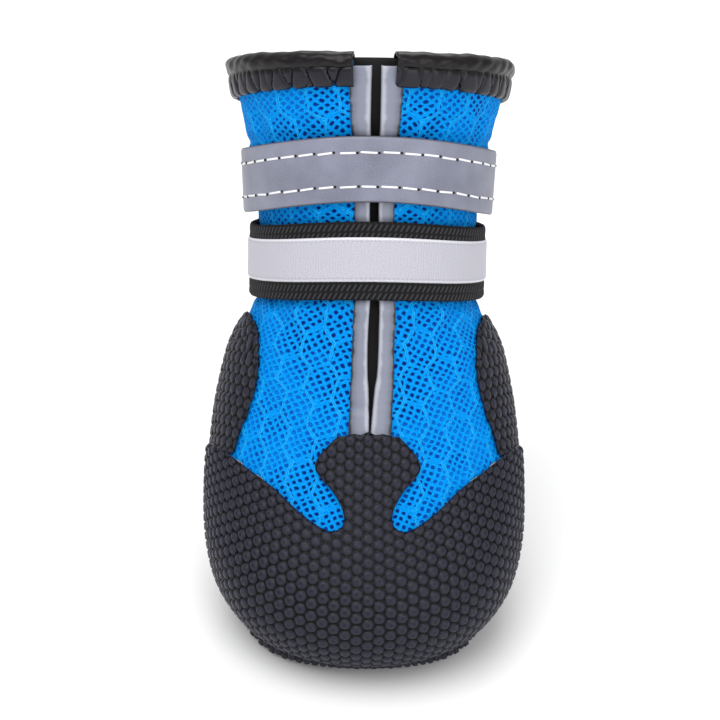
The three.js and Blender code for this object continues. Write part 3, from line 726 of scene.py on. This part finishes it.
# Moulded rubber: near black, matt, with the mould's fine spark-eroded grain and fine grip
# lines across the ground faces.
sole_rubber, tree, shader = material("moulded_sole_rubber")
place_at = add(tree, "ShaderNodeTexCoord").outputs["Object"]
grain = add(tree, NOISE, Vector=place_at, Scale=1 / (0.4 * MM), Detail=4.0).outputs[0]
tree.links.new(add(tree, RAMP, {"stops": ((0.3, "#141416"), (0.7, "#222226"))},
                   grain).outputs["Color"], shader.inputs["Base Color"])
reach_at = add(tree, SPLIT_XYZ, i0=place_at).outputs[1]
grip = add(tree, MATH, "COSINE",
           add(tree, MATH, "MULTIPLY", reach_at, 2 * math.pi / (0.9 * MM)).outputs[0]).outputs[0]
worn = add(tree, MATH, "ADD", add(tree, MATH, "MULTIPLY", grip, 0.5).outputs[0],
           add(tree, MATH, "MULTIPLY", grain, 0.6).outputs[0]).outputs[0]
relief = add(tree, BUMP, Strength=0.5, Distance=0.15 * MM, Height=worn)
tree.links.new(relief.outputs[0], shader.inputs["Normal"])
shader.inputs["Roughness"].default_value = 0.62

# ---- outlines, as degrees round from the toe and sections up ------------------------------
CAP_TAB = [(0.0, 6.51), (2.6, 6.45), (5.0, 6.47), (8.0, 6.43), (11.0, 6.40)]
CAP_TAB_SIDE = [(11.0, 6.40), (14.5, 6.20), (17.2, 6.01), (18.0, 5.82), (15.3, 5.62), (11.5, 5.42),
                (8.4, 5.14), (7.3, 4.91)]
CAP_SIDE = [(7.3, 4.91), (8.3, 4.73), (11.9, 4.64), (17.2, 4.77), (25.1, 5.05), (31.7, 5.27),
            (41.2, 5.42), (53.5, 5.50), (66.0, 5.43), (76.0, 5.28), (84.0, 5.06)]
CAP_BACK = [(84.0, 5.06), (87.5, 4.3), (90.5, 3.1), (93.5, 1.6), (95.0, -1.0)]
COUNTER_SIDE = [(56.4, 5.56), (53.5, 6.12), (50.8, 6.57), (48.9, 7.06), (48.4, 7.59), (51.9, 8.06),
                (59.8, 8.45), (70.0, 8.66), (77.0, 8.74)]
COUNTER_TOP = [(77.0, 8.74), (84.0, 8.70), (100.0, 8.36), (125.0, 7.92), (152.0, 7.62),
               (180.0, 7.5)]


def mirrored(half):
    """A closed outline from its right half, which runs from the middle line out."""
    right = np.array(half)
    return np.vstack([right, right[::-1] * (-1, 1)])


cap_line = mirrored(np.vstack([CAP_TAB[:-1], curve(CAP_TAB_SIDE), curve(CAP_SIDE),
                               curve(CAP_BACK), [(0, -1.0)]]))
rugged_panel("toe_cap_panel", "toe_cap", (-97, 97), 6.7, cap_line, CAP_FACE, (330, 180),
             BUMP_HEIGHT, stand=SOLE_TOP - 1.5, flare=0.6, rim=1)

counter_half = np.vstack([[(180, -1.0), (95.3, -1.0)],
                          curve([(93.8, 1.6), (90.8, 3.1), (87.8, 4.3), (84.0, 5.05)]),
                          [(66.0, 5.36)], curve(COUNTER_SIDE), curve(COUNTER_TOP)])
counter_line = np.vstack([counter_half, counter_half[::-1] * (-1, 1) + (360, 0)])
rugged_panel("heel_counter_panel", "heel_counter", (44, 316), 9.0, counter_line, COUNTER_FACE,
             (400, 120), COUNTER_BUMP_HEIGHT, stand=SOLE_TOP - 1.0)

# ---- the upper ----------------------------------------------------------------------------
SPLIT = [  # section, half gap between the tapes, the tapes' outer edge, lean to the right, in mm
    (6.35, 0.0, 4.6, 0.3), (6.6, 0.15, 4.65, 0.4), (6.8, 0.27, 4.6, 0.5), (7.3, 0.6, 4.6, 0.65),
    (7.5, 0.9, 4.6, 0.75), (7.8, 1.05, 4.55, 0.8), (8.3, 1.12, 4.5, 0.85), (9.0, 1.05, 4.45, 0.9),
    (9.7, 0.9, 4.2, 1.0), (10.6, 0.9, 4.1, 0.8), (11.2, 0.85, 4.1, 0.5), (12.2, 0.85, 4.6, 0.45),
    (13.2, 0.95, 5.1, 0.4), (14.2, 0.95, 5.5, 0.4), (15.0, 0.9, 5.6, 0.4)]
SPLIT_V, SPLIT_GAP, SPLIT_EDGE, SPLIT_LEAN = (np.array(column) for column in zip(*SPLIT))


def angle_at(x, v):
    """The angle at which the last is x millimetres off its middle line, near the front."""
    angle = x / sections(v)[:, HALF]
    for _ in range(5):
        angle = angle - (last(v, angle)[:, 0] - x) / sections(v)[:, HALF]
    return angle


cs, ct = np.meshgrid(np.linspace(0, 1, 51), np.linspace(0, 1, 61))
half_v, half_angle = ct.ravel() * TOP, cs.ravel() * math.pi
upper_pattern = flatten(last(half_v, half_angle).reshape(61, 51, 3))


def upper_cloth(v, angle):
    side = np.abs((angle + math.pi) % (2 * math.pi) - math.pi)
    return between(upper_pattern, side / math.pi, v / TOP)


bm, flat = sheet(270, 172)
angle0 = flat[:, 0] * 2 * math.pi
low = foot(angle0)
v = low + (TOP - low) * flat[:, 1]
side = np.where(flat[:, 0] < 0.5, angle0, 2 * math.pi - angle0)
sign = np.where(flat[:, 0] < 0.5, 1.0, -1.0)
inner = sign * angle_at(sign * (np.interp(v, SPLIT_V, SPLIT_EDGE) - 0.6)
                        + np.interp(v, SPLIT_V, SPLIT_LEAN), v)
inner *= smooth(v, 6.0, 6.35)
side = inner + (math.pi - inner) * (side / math.pi)
angle = np.where(flat[:, 0] < 0.5, side, 2 * math.pi - side)
cloth = upper_cloth(v, angle)
place(bm, skin(v, angle, -0.18 * pillows(cloth)), cloth)
for face in bm.faces:
    if any(flat[p.index, 1] < 1e-4 for p in face.verts):
        face.material_index = 1  # the lasted seam under the panels
bmesh.ops.remove_doubles(bm, verts=[p for p in bm.verts if abs(p.co.x) < 1e-5], dist=1e-5)
piece("air_mesh_upper", bm, [air_mesh, lining], ["upper"], WALL, rim=0, lining=1)

# ---- the split's folded tapes and the gusset behind them ----------------------------------
for name, sign in (("left", -1), ("right", 1)):
    bm, flat = sheet(14, 170)
    v = 6.38 + (TOP - 0.12 - 6.38) * flat[:, 1]
    gap, edge = np.interp(v, SPLIT_V, SPLIT_GAP), np.interp(v, SPLIT_V, SPLIT_EDGE)
    across = flat[:, 0]
    x = gap + 0.05 + (edge - gap) * across
    roll = (0.55 * np.sqrt(np.clip(1 - (across / 0.16 - 1) ** 2, 0, 1)) * (across < 0.16)
            + 0.55 * (across >= 0.16))
    out = -0.35 + roll * 1.3 + 0.1 * np.sin(v * 5 + sign) * smooth(across, 0, 1)
    if sign < 0:
        out -= 0.5 * np.exp(-(((v - 6.9) / 0.09) ** 2))
    angle = angle_at(sign * x + np.interp(v, SPLIT_V, SPLIT_LEAN), v)
    place(bm, skin(v, angle, out), np.stack([across, v * RISE_MM], 1))
    if sign > 0:
        bmesh.ops.reverse_faces(bm, faces=bm.faces[:])
    bmesh.ops.reverse_faces(bm, faces=bm.faces[:])
    piece(f"split_tape_{name}", bm, [edge_tape], [f"split_edging_{name}"], 0.5)

bm, flat = sheet(24, 80)
v = 6.0 + (TOP + 0.04 - 6.0) * flat[:, 1]
x = (flat[:, 0] - 0.5) * GUSSET_WIDTH
place(bm, skin(v, angle_at(x, v), np.full(len(v), -GUSSET_BEHIND)))
piece("split_gusset_panel", bm, [stretch], ["split_gusset"], 0.7)

# ---- the collar's binding -----------------------------------------------------------------
PROFILE = curve([(0.1, -5.1), (0.5, -5.0), (0.75, -4.2), (0.8, -2.3), (0.6, -1.5), (0.9, -0.8),
                 (0.75, 0.15), (-0.2, 0.7), (-1.7, 0.55), (-2.6, -0.4), (-2.7, -2.6),
                 (-2.6, -4.4)], 6)
length = np.concatenate([[0], np.cumsum(np.linalg.norm(np.diff(PROFILE, axis=0), axis=1))])
bm, flat = sheet(460, 56)
start = float(angle_at(np.array([4.5]), np.array([float(TOP)]))[0])
angle = start + (2 * math.pi - 2 * start) * flat[:, 0]
at = flat[:, 1] * length[-1]
out, along = np.interp(at, length, PROFILE[:, 0]), np.interp(at, length, PROFILE[:, 1])
rng = np.random.default_rng(7)
foot_at = np.cumsum(rng.uniform(1.2, 3.4, GATHERS)) - 1.0
lean = np.where(np.arange(GATHERS) % 2, 1, -1) * rng.uniform(0.1, 0.5, GATHERS)
deep = rng.uniform(0.15, 1.0, GATHERS)
down = np.clip(-along - 1.3, 0, None)
flap = (out > 0) & (along < 0)
here = flat[:, 0] * BINDING_LONG
crease = np.zeros(len(here))
for at_k, lean_k, deep_k in zip(foot_at, lean, deep):
    crease = np.maximum(crease, deep_k * np.exp(-(((here - at_k - lean_k * down) / 0.42) ** 2)))
out = out + np.where(flap, (0.2 - 0.75 * crease) * smooth(down, 0.2, 1.0)
                     - 0.15 * crease * (down > 0), 0)
along = along + np.where(flap, (0.8 * crease - 0.2) * smooth(down, 2.0, 3.4), 0)
rolled = np.exp(-(((along + 0.1) / 1.3) ** 2))
wrinkle = (np.sin(here * 0.9 + 2.2 * along) * np.sin(here * 0.31 + 1.0)
           + 0.6 * np.sin(here * 1.7 - 2.6 * along + 2.0))
out = out + 0.16 * wrinkle * rolled
along = along + (0.14 * np.sin(here * 0.42) + 0.1 * np.sin(here * 1.1 + 0.7)) * rolled
along = (along + 0.7 * np.clip(np.cos(angle), 0, None) ** 2
         + 1.7 * np.sin(angle) ** 2 * smooth(along, -3.5, 0.0))
one = np.full(len(angle), float(TOP))
step = np.linalg.norm(last(one, angle) - last(one - 1, angle), axis=1)
v = TOP + along / step
place(bm, skin(v, angle, out), np.stack([here, at], 1))
bmesh.ops.reverse_faces(bm, faces=bm.faces[:])
piece("collar_binding_tape", bm, [binding_tape], ["collar_binding"], 0.6)


# ---- the straps ---------------------------------------------------------------------------
def strap_at(strap, along, across, off):
    """Points on a strap wound once round the shaft and over its own start at the back."""
    start, ramp = math.radians(STRAP_START), math.radians(STRAP_RAMP)
    whole = 2 * math.pi + math.radians(STRAP_LAP)
    angle = start + whole * along
    climb = smooth(angle, start + 2 * math.pi - ramp, start + 2 * math.pi)
    base = strap["lift"] + climb * (strap["wall"] + 0.35) + off
    behind = ((1 - np.cos(angle)) / 2) ** 2
    v = (strap["front"] + (strap["back"] - strap["front"]) * behind
         + strap["side"] * np.sin(angle) ** 2)
    stand = strap["stand"] * np.sin(angle) ** 2
    out = normals(v, angle)
    up = last(np.full_like(v, strap["top"]), angle) - last(v, angle) - out * stand[:, None]
    width = strap["width"] * (1 - strap["taper"] * np.sin(angle) ** 2)
    up *= (width / np.linalg.norm(up, axis=1))[:, None]
    return last(v, angle) + out * (base + stand)[:, None] + up * across[:, None]


def band(name, strap, low, high, out, materials, node, slot, columns, rows, wall, relief=None):
    bm, flat = sheet(columns, rows)
    across = low + (high - low) * flat[:, 1]
    edge = np.minimum(flat[:, 1], 1 - flat[:, 1]) * (high - low) * strap["width"]
    off = out + (relief(flat[:, 0] * STRAP_LONG, across * strap["width"]) if relief else 0)
    off = off - 0.25 * np.clip(1 - edge / 0.5, 0, 1) ** 2
    place(bm, strap_at(strap, flat[:, 0], across, off),
          np.stack([flat[:, 0] * STRAP_LONG, across * strap["width"]], 1))
    return piece(name, bm, materials, node, wall)


def ribs(along, across):
    """Slanted knitted ribs, two rows in each black border of the webbing."""
    row = across / RIB_ROW
    turn = along / RIB_PITCH - RIB_SLANT * (row % 1) + 0.5 * np.floor(row)
    return 0.1 * np.cos(2 * math.pi * turn) * smooth(0.5 - np.abs(row % 1 - 0.5), 0.02, 0.2)


band("lower_strap_webbing", LOWER_STRAP, 0, 1, LOWER_STRAP["wall"], [webbing], ["lower_strap"],
     "webbing", 560, 36, LOWER_STRAP["wall"], ribs)
band("lower_strap_stripe", LOWER_STRAP, STRIPE_FROM / LOWER_STRAP["width"],
     (STRIPE_FROM + STRIPE_WIDTH) / LOWER_STRAP["width"], LOWER_STRAP["wall"] + 0.45,
     [stripe], None, "reflective_tape", 300, 16, 0.4)
band("upper_strap_band", UPPER_STRAP, 0, 1, UPPER_STRAP["wall"], [reflective], ["upper_strap"],
     "reflective_tape", 360, 24, UPPER_STRAP["wall"])


def stitches(name, strap, rows, pitch, long, thick, out, finish):
    """Rows of sewn stitches along a strap: each a short thread, with a needle hole after it:
    a small sphere of the black knit, painted shade.
    """
    bm = bmesh.new()
    count = int(STRAP_LONG / pitch)
    rng = np.random.default_rng(3)
    for across in rows:
        for k in range(count):
            middle = (k + 0.5 + rng.uniform(-0.05, 0.05)) * pitch / STRAP_LONG
            half = long / 2 / STRAP_LONG * rng.uniform(0.86, 1.08)
            wavy = across + rng.uniform(-0.14, 0.14, 2) / strap["width"]
            ends = strap_at(strap, np.array([middle - half, middle + half]), wavy,
                            np.array([out] * 2)) * MM
            a, b = (Vector(p) for p in ends)
            made = bmesh.ops.create_uvsphere(bm, u_segments=8, v_segments=5,
                                             radius=thick / 2 * MM)["verts"]
            axis = b - a
            for vert in made:
                vert.co.z += math.copysign(axis.length / 2 - thick / 2 * MM, vert.co.z)
            turn = axis.to_track_quat("Z", "Y").to_matrix().to_4x4()
            bmesh.ops.transform(bm, verts=made, matrix=Matrix.Translation((a + b) / 2) @ turn)
            # painted shade: a small black sphere stands for the dark needle hole
            hole = bmesh.ops.create_uvsphere(bm, u_segments=8, v_segments=5,
                                             radius=0.3 * MM)["verts"]
            bmesh.ops.transform(bm, verts=hole, matrix=Matrix.Translation(b + axis * 0.1) @ turn)
            for face in {f for vert in hole for f in vert.link_faces}:
                face.material_index = 1
    return piece(name, bm, [finish, stretch], None)


stitches("upper_strap_stitches", UPPER_STRAP, [row / UPPER_STRAP["width"] for row in STITCH_ROWS],
         STITCH_PITCH, STITCH_LONG, THREAD, UPPER_STRAP["wall"], thread)

# ---- sole and insole ----------------------------------------------------------------------
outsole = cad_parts["outsole"]
outsole.data.materials.clear()
outsole.data.materials.append(sole_rubber)
rounded = outsole.modifiers.new("moulded_edges", "BEVEL")
rounded.width = 0.3 * MM
rounded.segments = 2
rounded.limit_method = "ANGLE"
rounded.angle_limit = math.radians(40)

bm, flat = sheet(60, 60)
square = (flat - 0.5) * 2
radius = np.abs(square).max(1)
turn = np.arctan2(square[:, 0], -square[:, 1])
rim = last(np.full(len(turn), 0.5), turn)
rim = rim - PAD_INSET * normals(np.full(len(turn), 0.5), turn) * (1, 1, 0)
centre = np.array([0.0, 6.0, 0.0])
spot = centre + (rim - centre) * radius[:, None]
spot[:, 2] = tread(BALL_FROM_HEEL - spot[:, 1]) + PAD_TOP + 0.8 * smooth(radius, 0.6, 1.0)
place(bm, spot)
insole = piece("insole_pad", bm, [lining], ["insole"], 1.9)

# ---- camera, lights and floor -------------------------------------------------------------
floor_bm = bmesh.new()
bmesh.ops.create_grid(floor_bm, x_segments=1, y_segments=1, size=3.0)
floor_mesh = bpy.data.meshes.new("floor")
floor_bm.to_mesh(floor_mesh)
floor_bm.free()
floor = bpy.data.objects.new("floor", floor_mesh)
bpy.context.scene.collection.objects.link(floor)
# Seamless backdrop paper: uncoated, almost white, no gloss.
pale, tree, shader = material("pale_backdrop_paper")
shader.inputs["Base Color"].default_value = linear("#fbfbfb")
shader.inputs["Roughness"].default_value = 0.9
floor_mesh.materials.append(pale)
floor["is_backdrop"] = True


def light(name, spot, towards, size, power):
    data = bpy.data.lights.new(name, "AREA")
    data.shape = "DISK"
    data.size = size
    data.energy = power
    obj = bpy.data.objects.new(name, data)
    obj.location = spot
    obj.rotation_euler = (Vector(towards) - Vector(spot)).to_track_quat("-Z", "Y").to_euler()
    bpy.context.scene.collection.objects.link(obj)


AIM = (0.0, 0.009, 0.062)
light("key", (-0.25, -0.35, 1.0), AIM, 1.0, 8)
light("fill", (0.6, -0.9, 0.55), AIM, 0.9, 4)
light("back", (0.1, 0.9, 0.9), AIM, 0.8, 4)

world = bpy.data.worlds.new("soft_white_room")
bpy.context.scene.world = world
world.use_nodes = True
world.node_tree.nodes["Background"].inputs["Color"].default_value = (1, 1, 1, 1)
world.node_tree.nodes["Background"].inputs["Strength"].default_value = 0.6
bpy.context.scene.view_settings.view_transform = "Standard"

ELEVATION, AZIMUTH, ROLL = math.radians(30), math.radians(-2.0), math.radians(1.5)
DISTANCE = 0.45
camera_data = bpy.data.cameras.new("camera")
camera_data.lens = 101
camera = bpy.data.objects.new("camera", camera_data)
bpy.context.scene.collection.objects.link(camera)
towards = Vector((math.sin(AZIMUTH) * math.cos(ELEVATION), -math.cos(AZIMUTH) * math.cos(ELEVATION),
                  math.sin(ELEVATION)))
camera.location = Vector((-0.0017, 0.009, 0.062)) + towards * DISTANCE
camera.rotation_mode = "QUATERNION"
camera.rotation_quaternion = (-towards).to_track_quat("-Z", "Y") @ Quaternion((0, 0, 1), ROLL)
bpy.context.scene.camera = camera

low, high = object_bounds()
